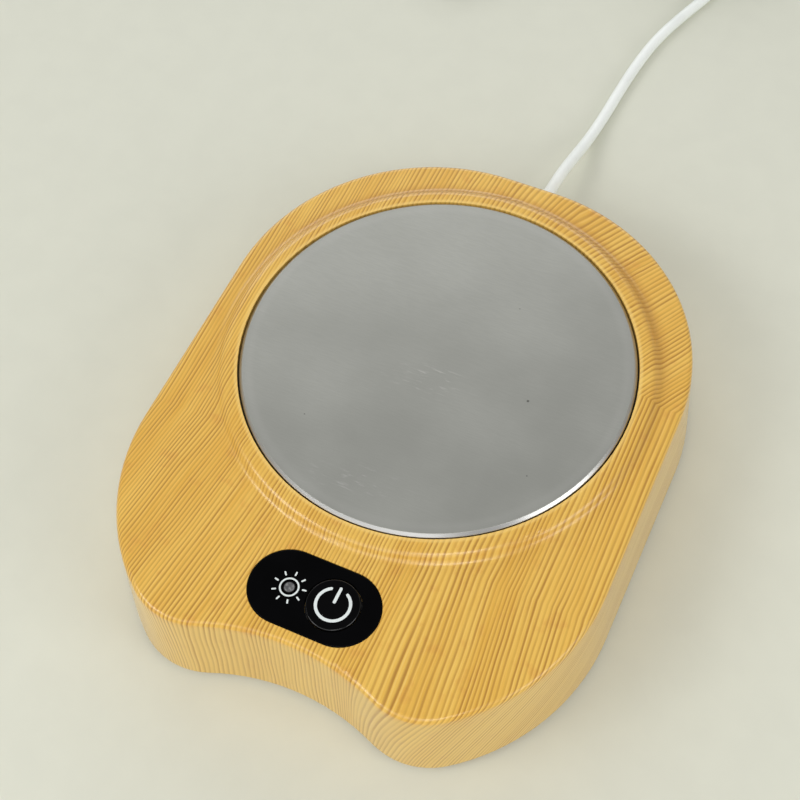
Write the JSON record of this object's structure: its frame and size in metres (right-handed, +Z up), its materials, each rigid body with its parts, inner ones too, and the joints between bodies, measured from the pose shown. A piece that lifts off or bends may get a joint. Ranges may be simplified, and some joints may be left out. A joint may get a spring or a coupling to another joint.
{
  "type": "electric mug warmer",
  "caption": "Low wood-grain mug warmer with a round metal heating plate, a black panel with a push button, and a thin white lead with a flat plug.",
  "frame": {"origin": "middle of the housing's footprint, on the surface that the feet stand on", "axes": "+Z up, +Y towards the back where the lead leaves, -Y towards the button"},
  "size_m": [0.1231, 0.2941, 0.0275],
  "materials": {
    "wood_grain_plastic": "satin, printed wood grain",
    "cover_plastic": "fine moulded texture",
    "foot_rubber": "matt",
    "zinc_steel": "bright zinc",
    "plate_alloy": "fine brushed, polished edge",
    "seal_silicone": "matt",
    "heater_polyimide": "glossy film",
    "insulation_felt": "pressed fibre",
    "sensor_epoxy": "glossy drop",
    "fuse_sleeve": "woven sleeve",
    "panel_black": "polished",
    "tape_black": "matt",
    "button_black": "satin gloss",
    "print_white": "printed ink",
    "light_smoke": "clear, smoky",
    "board_green": "solder mask",
    "part_black": "moulded",
    "switch_metal": "pressed",
    "led_lens": "clear",
    "capacitor_sleeve": "shrunk sleeve",
    "connector_white": "moulded",
    "wire_white": "extruded",
    "wire_red": "extruded",
    "wire_black": "extruded",
    "cord_white": "smooth, soft gloss",
    "tie_black": "woven tape",
    "plug_white": "satin",
    "plug_steel": "nickel plated",
    "tongue_plastic": "moulded",
    "contact_gold": "plated"
  },
  "bodies": {
    "housing": {"board_screws": "zinc_steel", "bottom_cover": "cover_plastic", "clamp_plate": "zinc_steel", "clamp_screws": "zinc_steel", "coil_tie": "tie_black", "control_board": "board_green", "control_chip": "part_black", "control_panel": "panel_black", "cord_clamp": "part_black", "cord_clamp_screws": "zinc_steel", "cord_coil": "cord_white", "cord_tail": "cord_white", "cover_screws": "zinc_steel", "foot_back_left": "foot_rubber", "foot_back_right": "foot_rubber", "foot_front_left": "foot_rubber", "foot_front_right": "foot_rubber", "heater_connector": "connector_white", "heater_film": "heater_polyimide", "heater_leads": "wire_white", "heating_plate": "plate_alloy", "indicator_led": "led_lens", "inner_cord": "cord_white", "insulation_disc": "insulation_felt", "light_guide": "light_smoke", "panel_tape": "tape_black", "plate_seal": "seal_silicone", "plug_contacts": "contact_gold", "plug_overmould": "plug_white", "plug_shell": "plug_steel", "plug_tongue": "tongue_plastic", "power_transistor": "part_black", "sensor_connector": "connector_white", "smoothing_capacitor": "capacitor_sleeve", "strain_relief": "cord_white", "sun_symbol": "print_white", "supply_connector": "connector_white", "supply_cord": "cord_white", "supply_wire_black": "wire_black", "supply_wire_red": "wire_red", "switch_housing": "switch_metal", "thermal_fuse": "fuse_sleeve", "thermistor": "sensor_epoxy", "thermistor_lead": "wire_white", "upper_shell": "wood_grain_plastic"},
    "button": {"power_button": "button_black", "power_symbol": "print_white", "switch_plunger": "part_black"}
  },
  "joints": [
    {"name": "power_press", "type": "slide", "parent": "housing", "child": "button", "axis": [0, 0, -1], "range_m": [0, 0.0005], "stiffness_N_per_m": 900, "springref_m": -0.0006}
  ]
}
